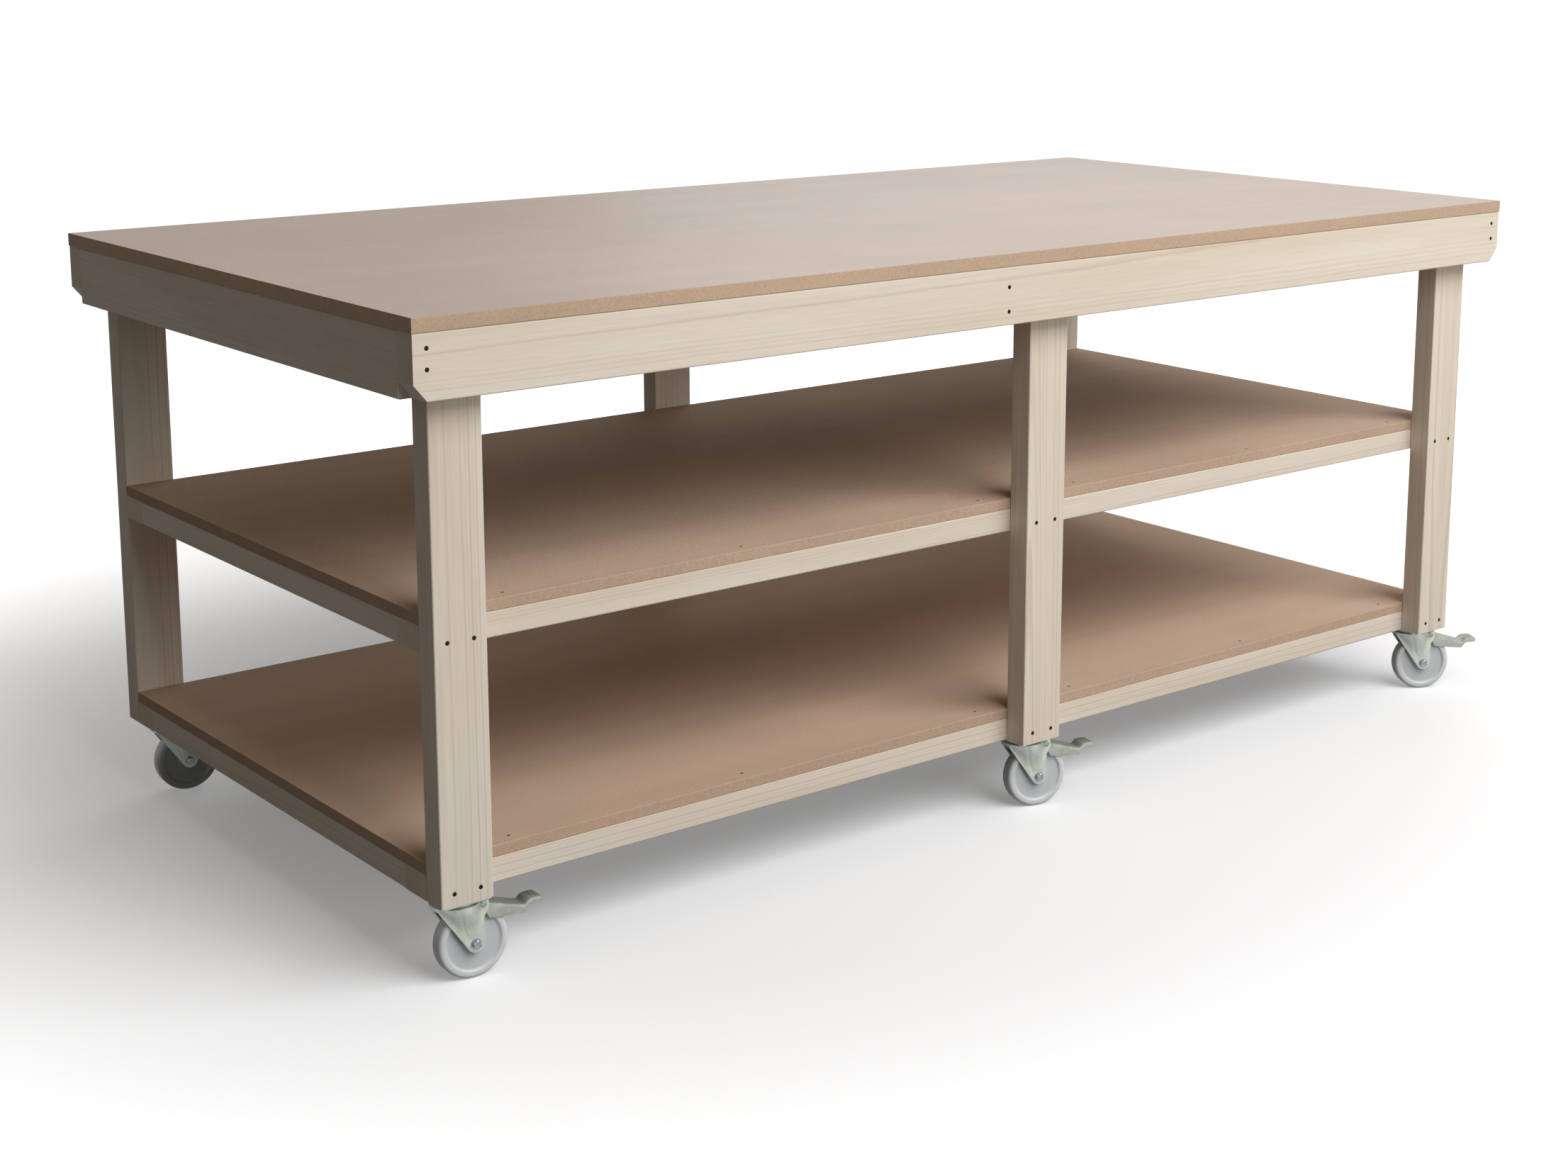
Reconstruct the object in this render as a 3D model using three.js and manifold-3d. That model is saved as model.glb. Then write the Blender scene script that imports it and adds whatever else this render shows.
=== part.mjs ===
// Assembly table: an MDF worktop on a softwood frame, with two shelves and six braked swivel casters.
// Millimetres, +Z up, -Y to the front. The origin is on the floor under the middle of the whole outline.
import * as THREE from 'three';
import { ConvexGeometry } from 'three/addons/geometries/ConvexGeometry.js';
import { mergeVertices } from 'three/addons/utils/BufferGeometryUtils.js';
import Module from 'manifold-3d';

const wasm = await Module();
wasm.setup();

// Worktop and top frame
const TOP_LENGTH = 2440;
const TOP_WIDTH = 1220;
const TOP_THICKNESS = 22;
const TOP_OVERHANG = 1;
const STOCK_THICKNESS = 44;
const TOP_RAIL_DEPTH = 98;
const CHAMFER_LENGTH = 22;
const CHAMFER_HEIGHT = 26;
const CROSS_RAIL_X = -108;

// Legs
const LEG_WIDTH = 88;
const LEG_LENGTH = 860;
const FRONT_MIDDLE_LEG_X = 28;
const BACK_MIDDLE_LEG_X = 4;

// Shelves: frames of flat rails between the two rows of legs, each under a board
const SHELF_RAIL_HEIGHT = 40;
const SHELF_RAIL_WIDTH = 63;
const SHELF_BOARD_THICKNESS = 18;
const MIDDLE_SHELF_RISE = 380;
const MIDDLE_SHELF_RAIL_X = 0;

// Eased edges, and the screw holes in the rails and legs
const TIMBER_EASE = 2.5;
const BOARD_EASE = 1;
const EASE_STEPS = 2;
const SCREW_HOLE_DIAMETER = 7;
const SCREW_HOLE_DEPTH = 8;
const SCREW_HOLE_SIDES = 8;
const LEG_SCREW_EDGE = 22;
const END_SCREW_DROPS = [22, 52];
const CROSS_SCREW_DROPS = [34, 75];

// Caster wheel, axle and swivel head
const WHEEL_DIAMETER = 114;
const WHEEL_WIDTH = 28;
const WHEEL_LIP = 5;
const WHEEL_DISH_DEPTH = 6;
const HUB_RADIUS = 16;
const HUB_DRAFT = 1;
const AXLE_RADIUS = 5;
const AXLE_HEAD_RADIUS = 8.5;
const AXLE_HEAD_HEIGHT = 6;
const AXLE_HEAD_SIDE = 3.3;
const AXLE_HEAD_FLAT = 5;
const CROWN_GAP = 7;
const DECK_THICKNESS = 3;
const RACE_HEIGHT = 7;
const RACE_RADIUS = 28;
const PLATE_THICKNESS = 3;
const PLATE_SIZE = 84;
const PLATE_CORNER = 6;
const KINGPIN_RADIUS = 6;
const KINGPIN_HEAD_RADIUS = 11;
const KINGPIN_HEAD_HEIGHT = 5;
const KINGPIN_HEAD_FLAT = 7.7;
const RACE_CHAMFER = 2.3;

// Caster fork
const CHEEK_THICKNESS = 3;
const TRAIL = 24;
const HEAD_RADIUS = 38;
const HEAD_WALL = 4.5;
const CHEEK_BACK = 28;
const CHEEK_SHOULDER = 6;
const BOSS_RADIUS = 14;
const FLARE_MARGIN = 3;
const SKIRT_FRONT = 7;
const SHEET_EASE = 1;
const LUG_REACH = 8;
const LUG_DEPTH = 15;
const LUG_SLOPE = 10;

// Brake pedal: a folded lever with a pin through the fork's lugs and a raised toe
const LEVER_SHEET = 2.4;
const LEVER_CLEARANCE = 0.8;
const LEVER_GAP = 1;
const PIVOT_RADIUS = 3;
const PIVOT_HEAD_RADIUS = 5.5;
const PIVOT_HEAD_HEIGHT = 2;
const PIVOT_DROP = 4;
const PIVOT_INSET = 9;
const LEVER_BACK = 6;
const LEVER_DROP = 6;
const LEVER_LENGTH = 55;
const LEVER_FALL = 17;
const LEVER_ROOT_DEPTH = 25;
const LEVER_END_DEPTH = 13;
const TOE_LENGTH = 35;
const TOE_RISE = 7;
const TOE_WIDTH = 32;
const TOE_LAP = 1;
const SHOE_START = 5;
const SHOE_LENGTH = 12;
const SHOE_GAP = 5;

// Running clearance of every pin in its hole, and of every turned piece against its neighbour
const CLEARANCE = 0.3;
const ROUND_SIDES = 12;
const WHEEL_SIDES = 24;
const ARC_STEPS = 5;
const CUT_MARGIN = 1;
const MERGE_DISTANCE = 1e-4;

// Where each caster sits: its place along and behind its leg's outer face, and the way its pedal points
const CASTER_REST = {
  front_left: { shift: 2, inset: 44, turn: -4 },
  front_middle: { shift: 3, inset: 52, turn: -15 },
  front_right: { shift: 4, inset: 58, turn: -30 },
  back_left: { shift: 10, inset: 60, turn: -4 },
  back_middle: { shift: 0, inset: 60, turn: -10 },
  back_right: { shift: 0, inset: 60, turn: -18 },
};

// Places worked out from the sizes above
const RAIL_END_X = TOP_LENGTH / 2 - TOP_OVERHANG;
const RAIL_FACE_Y = TOP_WIDTH / 2 - TOP_OVERHANG;
const LEG_OUTER_X = RAIL_END_X - STOCK_THICKNESS;
const LEG_OUTER_Y = RAIL_FACE_Y - STOCK_THICKNESS;
const LEG_INNER_Y = LEG_OUTER_Y - STOCK_THICKNESS;
const WHEEL_RADIUS = WHEEL_DIAMETER / 2;
const DECK_BOTTOM = WHEEL_DIAMETER + CROWN_GAP;
const DECK_TOP = DECK_BOTTOM + DECK_THICKNESS;
const PLATE_BOTTOM = DECK_TOP + RACE_HEIGHT;
const LEG_BOTTOM = PLATE_BOTTOM + PLATE_THICKNESS;
const RAIL_TOP = LEG_BOTTOM + LEG_LENGTH;
const RAIL_BOTTOM = RAIL_TOP - TOP_RAIL_DEPTH;
const LEVER_OUTER_Y = WHEEL_WIDTH / 2 + LEVER_CLEARANCE + LEVER_SHEET;
const CHEEK_INNER_Y = LEVER_OUTER_Y + CLEARANCE;
const CHEEK_OUTER_Y = CHEEK_INNER_Y + CHEEK_THICKNESS;
const LUG_FRONT = TRAIL + BOSS_RADIUS + LUG_REACH;
const PIVOT_X = LUG_FRONT - PIVOT_INSET;
const PIVOT_Z = DECK_BOTTOM - PIVOT_DROP;

const SHELVES = { lower: LEG_BOTTOM, middle: LEG_BOTTOM + MIDDLE_SHELF_RISE };
const END_LEG_X = LEG_OUTER_X - LEG_WIDTH / 2;
const LEGS = [
  { name: 'front_left', side: -1, x: -END_LEG_X },
  { name: 'front_middle', side: -1, x: FRONT_MIDDLE_LEG_X },
  { name: 'front_right', side: -1, x: END_LEG_X },
  { name: 'back_left', side: 1, x: -END_LEG_X },
  { name: 'back_middle', side: 1, x: BACK_MIDDLE_LEG_X },
  { name: 'back_right', side: 1, x: END_LEG_X },
];

const FINISHES = {
  timber: { color: '#ddd2c2', roughness: 0.75, metalness: 0 },
  board: { color: '#c2a68c', roughness: 0.85, metalness: 0 },
  zinc: { color: '#aab2a8', roughness: 0.4, metalness: 0.9 },
  bolt: { color: '#b9bdb9', roughness: 0.3, metalness: 1 },
  nylon: { color: '#c6c8ca', roughness: 0.45, metalness: 0 },
};

const table = new THREE.Group();

// A closed geometry as a solid that can be joined and cut
function solid(geometry) {
  const bare = geometry.clone();
  bare.deleteAttribute('normal');
  bare.deleteAttribute('uv');
  const merged = mergeVertices(bare, MERGE_DISTANCE);
  const vertProperties = new Float32Array(merged.attributes.position.array);
  const triVerts = new Uint32Array(merged.index.array);
  return new wasm.Manifold(new wasm.Mesh({ numProp: 3, vertProperties, triVerts }));
}

// A solid as a named mesh with a material of its own, hung in the given group
function place(parent, name, shape, finish) {
  const { vertProperties, triVerts, numProp } = shape.getMesh();
  const geometry = new THREE.BufferGeometry();
  const positions = new Float32Array((vertProperties.length / numProp) * 3);
  for (let i = 0; i < positions.length / 3; i += 1) {
    positions.set(vertProperties.subarray(i * numProp, i * numProp + 3), i * 3);
  }
  geometry.setAttribute('position', new THREE.BufferAttribute(positions, 3));
  geometry.setIndex(new THREE.BufferAttribute(new Uint32Array(triVerts), 1));
  geometry.computeVertexNormals();
  const mesh = new THREE.Mesh(geometry, new THREE.MeshStandardMaterial(FINISHES[finish]));
  mesh.name = name;
  parent.add(mesh);
}

// The way an outline's own two axes and its depth point for a bar that runs along X, Y or Z
const UNIT = {
  x: new THREE.Vector3(1, 0, 0),
  y: new THREE.Vector3(0, 1, 0),
  z: new THREE.Vector3(0, 0, 1),
};
const ALONG = {
  x: new THREE.Matrix4().makeBasis(UNIT.y, UNIT.z, UNIT.x),
  y: new THREE.Matrix4().makeBasis(UNIT.z, UNIT.x, UNIT.y),
  z: new THREE.Matrix4().makeBasis(UNIT.x, UNIT.y, UNIT.z),
};
// A side outline drawn in X and Z, with its depth running towards -Y
const SIDE_ON = new THREE.Matrix4().makeBasis(UNIT.x, UNIT.z, UNIT.y.clone().negate());

function roundedRectangle(width, height, radius) {
  const x = width / 2 - radius;
  const y = height / 2 - radius;
  const shape = new THREE.Shape();
  shape.absarc(x, y, radius, 0, Math.PI / 2);
  shape.absarc(-x, y, radius, Math.PI / 2, Math.PI);
  shape.absarc(-x, -y, radius, Math.PI, Math.PI * 1.5);
  shape.absarc(x, -y, radius, Math.PI * 1.5, Math.PI * 2);
  shape.closePath();
  return shape;
}

function extrude(shape, depth, steps = EASE_STEPS) {
  return new THREE.ExtrudeGeometry(shape, { depth, bevelEnabled: false, curveSegments: steps });
}

// A bar between two corners, with its four long edges eased, running along the named axis
function bar(axis, low, high, ease) {
  const size = { x: high[0] - low[0], y: high[1] - low[1], z: high[2] - low[2] };
  const section = { x: ['y', 'z'], y: ['z', 'x'], z: ['x', 'y'] }[axis];
  const shape = roundedRectangle(size[section[0]], size[section[1]], ease);
  const geometry = extrude(shape, size[axis]).translate(0, 0, -size[axis] / 2).applyMatrix4(ALONG[axis]);
  geometry.translate((low[0] + high[0]) / 2, (low[1] + high[1]) / 2, (low[2] + high[2]) / 2);
  return solid(geometry);
}

// A plate cut to a side outline, standing in X and Z between two Y values
function sidePlate(shape, lowY, highY) {
  return solid(extrude(shape, highY - lowY, ARC_STEPS).applyMatrix4(SIDE_ON).translate(0, highY, 0));
}

function polygon(points) {
  return new THREE.Shape(points.map(([x, y]) => new THREE.Vector2(x, y)));
}

// A round bar across the piece along Y
function crossBar(radius, lowY, highY, x, z, sides = ROUND_SIDES) {
  const geometry = new THREE.CylinderGeometry(radius, radius, highY - lowY, sides);
  return solid(geometry.translate(x, (lowY + highY) / 2, z));
}

// A turned piece about the Y axis, from a profile of radius and height
function turned(profile, sides) {
  return solid(new THREE.LatheGeometry(profile.map(([r, h]) => new THREE.Vector2(r, h)), sides));
}

// Stands a piece that was turned about Y on end, about Z
function upright(piece) {
  return piece.rotate([90, 0, 0]);
}

// Blind screw holes in the face of a rail or leg that lies at the given Y
function drill(piece, faceY, holes) {
  const lowY = faceY - SCREW_HOLE_DEPTH;
  const highY = faceY + SCREW_HOLE_DEPTH;
  let drilled = piece;
  for (const [x, z] of holes) {
    drilled = drilled.subtract(crossBar(SCREW_HOLE_DIAMETER / 2, lowY, highY, x, z, SCREW_HOLE_SIDES));
  }
  return drilled;
}

// Y range of a piece that lies between two distances from the middle, on the front or back side
function sideRange(side, inner, outer) {
  return side < 0 ? [-outer, -inner] : [inner, outer];
}

// Front or back top rail: full length, lower end corners cut off, drilled for the end and cross rails
function topLongRail(name, side) {
  const [lowY, highY] = sideRange(side, LEG_OUTER_Y, RAIL_FACE_Y);
  const stick = bar('x', [-RAIL_END_X, lowY, RAIL_BOTTOM], [RAIL_END_X, highY, RAIL_TOP], TIMBER_EASE);
  const outline = polygon([
    [-RAIL_END_X, RAIL_TOP],
    [-RAIL_END_X, RAIL_BOTTOM + CHAMFER_HEIGHT],
    [-RAIL_END_X + CHAMFER_LENGTH, RAIL_BOTTOM],
    [RAIL_END_X - CHAMFER_LENGTH, RAIL_BOTTOM],
    [RAIL_END_X, RAIL_BOTTOM + CHAMFER_HEIGHT],
    [RAIL_END_X, RAIL_TOP],
  ]);
  const cut = stick.intersect(sidePlate(outline, lowY - CUT_MARGIN, highY + CUT_MARGIN));
  const endX = RAIL_END_X - STOCK_THICKNESS / 2;
  const holes = [
    ...END_SCREW_DROPS.flatMap((drop) => [[-endX, RAIL_TOP - drop], [endX, RAIL_TOP - drop]]),
    ...CROSS_SCREW_DROPS.map((drop) => [CROSS_RAIL_X, RAIL_TOP - drop]),
  ];
  place(table, name, drill(cut, side * RAIL_FACE_Y, holes), 'timber');
}

// A top rail that runs from the front rail to the back rail
function topCrossRail(name, lowX) {
  const low = [lowX, -LEG_OUTER_Y, RAIL_BOTTOM];
  const high = [lowX + STOCK_THICKNESS, LEG_OUTER_Y, RAIL_TOP];
  place(table, name, bar('y', low, high, TIMBER_EASE), 'timber');
}

function topFrame() {
  topLongRail('top_front_rail', -1);
  topLongRail('top_back_rail', 1);
  topCrossRail('top_left_rail', -RAIL_END_X);
  topCrossRail('top_middle_rail', CROSS_RAIL_X - STOCK_THICKNESS / 2);
  topCrossRail('top_right_rail', RAIL_END_X - STOCK_THICKNESS);
  const low = [-TOP_LENGTH / 2, -TOP_WIDTH / 2, RAIL_TOP];
  const high = [TOP_LENGTH / 2, TOP_WIDTH / 2, RAIL_TOP + TOP_THICKNESS];
  place(table, 'top_board', bar('x', low, high, BOARD_EASE), 'board');
}

function leg({ name, side, x }) {
  const [lowY, highY] = sideRange(side, LEG_INNER_Y, LEG_OUTER_Y);
  const low = [x - LEG_WIDTH / 2, lowY, LEG_BOTTOM];
  const high = [x + LEG_WIDTH / 2, highY, RAIL_TOP];
  const reach = LEG_WIDTH / 2 - LEG_SCREW_EDGE;
  const holes = Object.values(SHELVES).flatMap((frameBottom) => {
    const z = frameBottom + SHELF_RAIL_HEIGHT / 2;
    return [[x - reach, z], [x + reach, z]];
  });
  const drilled = drill(bar('z', low, high, TIMBER_EASE), side * LEG_OUTER_Y, holes);
  place(table, `leg_${name}`, drilled, 'timber');
}

// A shelf: long rails against the legs, cross rails between them, and a board flush with the frame
function shelf(name, frameBottom) {
  const frameTop = frameBottom + SHELF_RAIL_HEIGHT;
  const railInnerY = LEG_INNER_Y - SHELF_RAIL_WIDTH;
  for (const [end, side] of [['front', -1], ['back', 1]]) {
    const [lowY, highY] = sideRange(side, railInnerY, LEG_INNER_Y);
    const rail = bar('x', [-LEG_OUTER_X, lowY, frameBottom], [LEG_OUTER_X, highY, frameTop], TIMBER_EASE);
    place(table, `${name}_shelf_${end}_rail`, rail, 'timber');
  }
  const crossRails = {
    left: -LEG_OUTER_X,
    middle: MIDDLE_SHELF_RAIL_X - SHELF_RAIL_WIDTH / 2,
    right: LEG_OUTER_X - SHELF_RAIL_WIDTH,
  };
  for (const [end, lowX] of Object.entries(crossRails)) {
    const low = [lowX, -railInnerY, frameBottom];
    const high = [lowX + SHELF_RAIL_WIDTH, railInnerY, frameTop];
    place(table, `${name}_shelf_${end}_rail`, bar('y', low, high, TIMBER_EASE), 'timber');
  }
  const low = [-LEG_OUTER_X, -LEG_INNER_Y, frameTop];
  const high = [LEG_OUTER_X, LEG_INNER_Y, frameTop + SHELF_BOARD_THICKNESS];
  place(table, `${name}_shelf_board`, bar('x', low, high, BOARD_EASE), 'board');
}

// Everything below is drawn about the caster's swivel axis, with the wheel trailing towards +X

function plateShape() {
  const half = PLATE_SIZE / 2;
  return bar('z', [-half, -half, PLATE_BOTTOM], [half, half, LEG_BOTTOM], PLATE_CORNER);
}

// Kingpin: the ball race under the plate, a pin through the fork's deck and a riveted head below it
function kingpinShape() {
  const headTop = DECK_BOTTOM - CLEARANCE;
  const headBottom = headTop - KINGPIN_HEAD_HEIGHT;
  const raceBottom = DECK_TOP + CLEARANCE;
  return upright(turned([
    [0, headBottom],
    [KINGPIN_HEAD_FLAT, headBottom],
    [KINGPIN_HEAD_RADIUS, headBottom + KINGPIN_HEAD_HEIGHT / 2],
    [KINGPIN_HEAD_RADIUS, headTop],
    [KINGPIN_RADIUS, headTop],
    [KINGPIN_RADIUS, raceBottom],
    [RACE_RADIUS - RACE_CHAMFER, raceBottom],
    [RACE_RADIUS, raceBottom + RACE_CHAMFER],
    [RACE_RADIUS, PLATE_BOTTOM],
    [0, PLATE_BOTTOM],
  ], ROUND_SIDES));
}

// One cheek of the fork, seen from the side: a slanted back edge, a round boss and a lug for the pedal
function cheekOutline() {
  const shoulder = { x: -CHEEK_BACK, z: DECK_TOP - CHEEK_SHOULDER };
  const lugBottom = DECK_TOP - LUG_DEPTH;
  const shape = new THREE.Shape();
  shape.moveTo(shoulder.x, DECK_TOP);
  shape.lineTo(shoulder.x, shoulder.z);
  shape.absarc(TRAIL, WHEEL_RADIUS, BOSS_RADIUS, backSlope(shoulder.x, shoulder.z) - Math.PI / 2, 0, false);
  shape.lineTo(TRAIL + BOSS_RADIUS, lugBottom - LUG_SLOPE);
  shape.lineTo(LUG_FRONT, lugBottom);
  shape.lineTo(LUG_FRONT, DECK_TOP);
  shape.closePath();
  return shape;
}

// Slope of the line from a point down to the back of the axle boss, which it touches
function backSlope(x, z) {
  const run = TRAIL - x;
  const drop = WHEEL_RADIUS - z;
  return Math.atan2(drop, run) - Math.asin(BOSS_RADIUS / Math.hypot(run, drop));
}

function circlePoints(radius, height, sides) {
  return Array.from({ length: sides }, (_, i) => {
    const angle = (i / sides) * Math.PI * 2;
    return new THREE.Vector3(Math.cos(angle) * radius, Math.sin(angle) * radius, height);
  });
}

// The pressed head: a round deck whose skirt draws in to the two cheeks above the axle, open underneath
function flaredHead() {
  const skirtBottom = WHEEL_RADIUS + AXLE_HEAD_RADIUS + FLARE_MARGIN;
  const slope = backSlope(-HEAD_RADIUS, DECK_BOTTOM);
  const backX = -HEAD_RADIUS + (skirtBottom - DECK_BOTTOM) / Math.tan(slope);
  const skirt = [-CHEEK_OUTER_Y, CHEEK_OUTER_Y].flatMap((y) => [
    new THREE.Vector3(backX, y, skirtBottom),
    new THREE.Vector3(TRAIL + SKIRT_FRONT, y, skirtBottom),
  ]);
  const points = [DECK_TOP, DECK_BOTTOM].flatMap((z) => circlePoints(HEAD_RADIUS, z, WHEEL_SIDES));
  const innerTop = HEAD_RADIUS - HEAD_WALL;
  const hollow = polygon([
    [-CHEEK_INNER_Y, 0], [CHEEK_INNER_Y, 0], [CHEEK_INNER_Y, skirtBottom], [innerTop, DECK_BOTTOM],
    [-innerTop, DECK_BOTTOM], [-CHEEK_INNER_Y, skirtBottom],
  ]);
  const reach = HEAD_RADIUS * 2;
  const cut = extrude(hollow, reach * 2).translate(0, 0, -reach).applyMatrix4(ALONG.x);
  return solid(new ConvexGeometry([...points, ...skirt])).subtract(solid(cut));
}

function forkShape() {
  const low = [0, -CHEEK_OUTER_Y, DECK_BOTTOM];
  const high = [LUG_FRONT, CHEEK_OUTER_Y, DECK_TOP];
  let fork = flaredHead().add(bar('z', low, high, SHEET_EASE));
  for (const side of [-1, 1]) {
    const [lowY, highY] = sideRange(side, CHEEK_INNER_Y, CHEEK_OUTER_Y);
    fork = fork.add(sidePlate(cheekOutline(), lowY, highY));
  }
  const through = HEAD_RADIUS;
  const pinHole = new THREE.CylinderGeometry(
    KINGPIN_RADIUS + CLEARANCE, KINGPIN_RADIUS + CLEARANCE, DECK_THICKNESS * 3, ROUND_SIDES);
  return fork
    .subtract(upright(solid(pinHole)).translate([0, 0, DECK_BOTTOM + DECK_THICKNESS / 2]))
    .subtract(crossBar(AXLE_RADIUS + CLEARANCE, -through, through, TRAIL, WHEEL_RADIUS))
    .subtract(crossBar(PIVOT_RADIUS + CLEARANCE, -through, through, PIVOT_X, PIVOT_Z));
}

// Wheel: a crowned tread with rounded lips, dished sides and a long hub, bored for the axle
function wheelShape() {
  const half = WHEEL_WIDTH / 2;
  const hubHalf = CHEEK_INNER_Y - CLEARANCE;
  const bore = AXLE_RADIUS + CLEARANCE;
  const lipInner = WHEEL_RADIUS - WHEEL_LIP * 2;
  const lipFacet = WHEEL_LIP * (1 - Math.SQRT1_2);
  const sideOut = [
    [bore, hubHalf],
    [HUB_RADIUS - HUB_DRAFT, hubHalf],
    [HUB_RADIUS + HUB_DRAFT, half - WHEEL_DISH_DEPTH],
    [lipInner - WHEEL_DISH_DEPTH, half - WHEEL_DISH_DEPTH],
    [lipInner, half - HUB_DRAFT],
    [WHEEL_RADIUS - WHEEL_LIP, half],
    [WHEEL_RADIUS - lipFacet, half - lipFacet],
    [WHEEL_RADIUS, half - WHEEL_LIP],
  ];
  const mirrored = sideOut.map(([r, y]) => [r, -y]);
  const loop = [...mirrored, ...sideOut.toReversed(), mirrored[0]];
  return turned(loop, WHEEL_SIDES).translate([TRAIL, 0, WHEEL_RADIUS]);
}

// Axle: a bolt through both cheeks and the hub, with a domed head on each side
function axleShape() {
  const seat = CHEEK_OUTER_Y + CLEARANCE;
  const end = seat + AXLE_HEAD_HEIGHT;
  const half = [
    [AXLE_RADIUS, seat],
    [AXLE_HEAD_RADIUS, seat],
    [AXLE_HEAD_RADIUS, seat + AXLE_HEAD_SIDE],
    [AXLE_HEAD_FLAT, end],
    [0, end],
  ];
  const mirrored = half.map(([r, y]) => [r, -y]).toReversed();
  return turned([...mirrored, ...half], ROUND_SIDES).translate([TRAIL, 0, WHEEL_RADIUS]);
}

// Height of the tread above the floor at a distance along the caster
function treadHeight(x) {
  return WHEEL_RADIUS + Math.sqrt(WHEEL_RADIUS ** 2 - (x - TRAIL) ** 2);
}

// Brake pedal: top sheet with a raised toe, two side webs, a shoe over the tread and a pivot pin
function pedalShape() {
  const start = LUG_FRONT + LEVER_GAP;
  const neck = start + LEVER_LENGTH;
  const tip = neck + TOE_LENGTH;
  const startTop = DECK_BOTTOM - LEVER_DROP;
  const neckTop = startTop - LEVER_FALL;
  const tipTop = neckTop + TOE_RISE;
  const backX = PIVOT_X - LEVER_BACK;
  const backTop = PIVOT_Z + PIVOT_RADIUS - CLEARANCE;
  const sheetHeight = (x) => startTop - ((x - start) / LEVER_LENGTH) * LEVER_FALL;
  const lever = polygon([
    [start, startTop], [start, startTop - LEVER_SHEET], [neck, neckTop - LEVER_SHEET], [neck, neckTop],
  ]);
  const toeStart = neck - TOE_LAP;
  const toe = polygon([
    [toeStart, neckTop], [toeStart, neckTop - LEVER_SHEET], [tip, tipTop - LEVER_SHEET], [tip, tipTop],
  ]);
  const web = polygon([
    [backX, backTop], [backX, PIVOT_Z - LEVER_BACK], [start, startTop - LEVER_ROOT_DEPTH],
    [neck, neckTop - LEVER_END_DEPTH], [neck, neckTop], [start, startTop], [PIVOT_X + LEVER_BACK, backTop],
  ]);
  const shoeStart = start + SHOE_START;
  const shoeEnd = shoeStart + SHOE_LENGTH;
  const shoe = polygon([
    [shoeStart, sheetHeight(shoeStart)], [shoeStart, treadHeight(shoeStart) + SHOE_GAP],
    [shoeEnd, treadHeight(shoeEnd) + SHOE_GAP], [shoeEnd, sheetHeight(shoeEnd)],
  ]);
  const shoeHalf = WHEEL_WIDTH / 2 - LEVER_SHEET;
  let pedal = sidePlate(lever, -LEVER_OUTER_Y, LEVER_OUTER_Y)
    .add(sidePlate(toe, -TOE_WIDTH / 2, TOE_WIDTH / 2))
    .add(sidePlate(shoe, -shoeHalf, shoeHalf));
  for (const side of [-1, 1]) {
    const [lowY, highY] = sideRange(side, LEVER_OUTER_Y - LEVER_SHEET, LEVER_OUTER_Y);
    const headStart = CHEEK_OUTER_Y + CLEARANCE;
    const [headLow, headHigh] = sideRange(side, headStart, headStart + PIVOT_HEAD_HEIGHT);
    pedal = pedal
      .add(sidePlate(web, lowY, highY))
      .add(crossBar(PIVOT_HEAD_RADIUS, headLow, headHigh, PIVOT_X, PIVOT_Z));
  }
  const pinEnd = CHEEK_OUTER_Y + CLEARANCE + PIVOT_HEAD_HEIGHT / 2;
  return pedal.add(crossBar(PIVOT_RADIUS, -pinEnd, pinEnd, PIVOT_X, PIVOT_Z));
}

// One caster under a leg: the plate and kingpin stay with the table, the rest is turned to its rest angle
function caster({ name, side, x }) {
  const { shift, inset, turn } = CASTER_REST[name];
  const fixed = new THREE.Group();
  fixed.position.set(x + shift, side * (LEG_OUTER_Y - inset), 0);
  const swivel = new THREE.Group();
  swivel.rotation.z = THREE.MathUtils.degToRad(turn);
  fixed.add(swivel);
  table.add(fixed);
  place(fixed, `caster_${name}_plate`, plateShape(), 'zinc');
  place(fixed, `caster_${name}_kingpin`, kingpinShape(), 'zinc');
  place(swivel, `caster_${name}_fork`, forkShape(), 'zinc');
  place(swivel, `caster_${name}_wheel`, wheelShape(), 'nylon');
  place(swivel, `caster_${name}_axle`, axleShape(), 'bolt');
  place(swivel, `caster_${name}_brake_pedal`, pedalShape(), 'zinc');
}

topFrame();
for (const post of LEGS) {
  leg(post);
}
for (const [name, frameBottom] of Object.entries(SHELVES)) {
  shelf(name, frameBottom);
}
for (const post of LEGS) {
  caster(post);
}

// One pedal stands out past the right end, so the origin is under the middle of the whole outline
const extent = new THREE.Box3().setFromObject(table);
table.position.x = -Math.round((extent.min.x + extent.max.x) / 2);

export default table;
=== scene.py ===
"""The looks of the assembly table: planed spruce, sanded MDF and zinc-plated casters on nylon wheels."""
import math
import random

import bpy
from mathutils import Matrix, Vector


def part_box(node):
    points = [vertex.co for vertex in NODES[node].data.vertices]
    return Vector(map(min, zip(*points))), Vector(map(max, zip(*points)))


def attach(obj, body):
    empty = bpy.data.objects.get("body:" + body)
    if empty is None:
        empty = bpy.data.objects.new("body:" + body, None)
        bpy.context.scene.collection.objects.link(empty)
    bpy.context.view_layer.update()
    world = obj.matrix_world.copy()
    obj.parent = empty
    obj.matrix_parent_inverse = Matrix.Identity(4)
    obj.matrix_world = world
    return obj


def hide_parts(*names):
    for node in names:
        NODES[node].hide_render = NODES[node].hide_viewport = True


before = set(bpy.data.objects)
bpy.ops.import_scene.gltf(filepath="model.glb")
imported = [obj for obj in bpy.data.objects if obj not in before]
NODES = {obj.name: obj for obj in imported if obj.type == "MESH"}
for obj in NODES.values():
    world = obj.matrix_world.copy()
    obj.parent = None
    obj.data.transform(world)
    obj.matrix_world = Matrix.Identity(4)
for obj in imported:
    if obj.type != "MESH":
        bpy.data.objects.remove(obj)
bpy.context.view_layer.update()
MM = 0.001

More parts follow.
